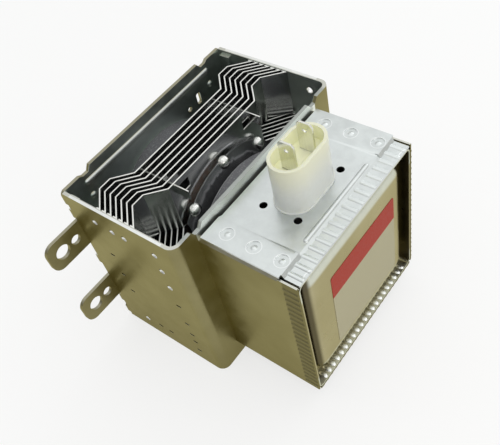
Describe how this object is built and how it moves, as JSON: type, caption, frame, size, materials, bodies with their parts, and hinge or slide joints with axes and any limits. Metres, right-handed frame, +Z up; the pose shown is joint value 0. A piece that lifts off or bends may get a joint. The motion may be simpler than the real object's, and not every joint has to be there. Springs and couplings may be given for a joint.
{
  "type": "magnetron",
  "caption": "Packaged oven magnetron: finned tube between ring magnets in an open steel yoke with mounting ears, an antenna on one side and a filter box with a capacitor connector on the other.",
  "frame": {"origin": "on the tube's axis, in the outer face of the antenna-side yoke plate, where the part seats on a waveguide", "axes": "+X along the tube from the antenna to the filter box, +Z up towards the capacitor, +Y across the fins, away from the mounting ears"},
  "size_m": [0.1265, 0.1131, 0.1051],
  "materials": {
    "khaki_zinc_steel": "zinc plated, satin, olive tint",
    "bright_zinc_steel": "zinc plated, satin",
    "fin_aluminium": "bright rolled sheet",
    "ferrite_magnet": "ground sintered ferrite",
    "black_steel": "blackened, glossy",
    "copper": "bright copper",
    "pole_steel": "plain",
    "plated_can": "nickel plated",
    "white_ceramic": "fired alumina, matt",
    "mesh_brass": "knitted wire",
    "tungsten": "drawn wire",
    "ivory_plastic": "moulded, semi gloss",
    "tinned_brass": "tinned"
  },
  "bodies": {
    "root": {"yoke_plate": "khaki_zinc_steel", "yoke_frame": "khaki_zinc_steel", "filter_box_shell": "khaki_zinc_steel", "filter_box_lid": "khaki_zinc_steel", "filter_box_top": "bright_zinc_steel", "cooling_fin_1": "fin_aluminium", "cooling_fin_2": "fin_aluminium", "cooling_fin_3": "fin_aluminium", "cooling_fin_4": "fin_aluminium", "cooling_fin_5": "fin_aluminium", "cooling_fin_6": "fin_aluminium", "cooling_fin_7": "fin_aluminium", "magnet_antenna_side": "ferrite_magnet", "magnet_filter_side": "ferrite_magnet", "ferrite_core_near": "ferrite_magnet", "ferrite_core_far": "ferrite_magnet", "magnet_retainer": "black_steel", "anode_cylinder": "copper", "anode_vanes": "copper", "strap_rings": "copper", "exhaust_tube": "copper", "antenna_lead": "copper", "choke_coil_near": "copper", "choke_coil_far": "copper", "pole_piece_antenna_side": "pole_steel", "pole_piece_filter_side": "pole_steel", "seal_can_antenna_side": "plated_can", "seal_can_filter_side": "plated_can", "antenna_cap": "plated_can", "antenna_insulator": "white_ceramic", "stem_insulator": "white_ceramic", "capacitor_ceramic": "white_ceramic", "mesh_gasket": "mesh_brass", "cathode_filament": "tungsten", "end_hat_antenna_side": "tungsten", "end_hat_filter_side": "tungsten", "cathode_centre_rod": "tungsten", "cathode_side_rod": "tungsten", "capacitor_housing": "ivory_plastic", "capacitor_base": "ivory_plastic", "terminal_near": "tinned_brass", "terminal_far": "tinned_brass"}
  },
  "joints": []
}
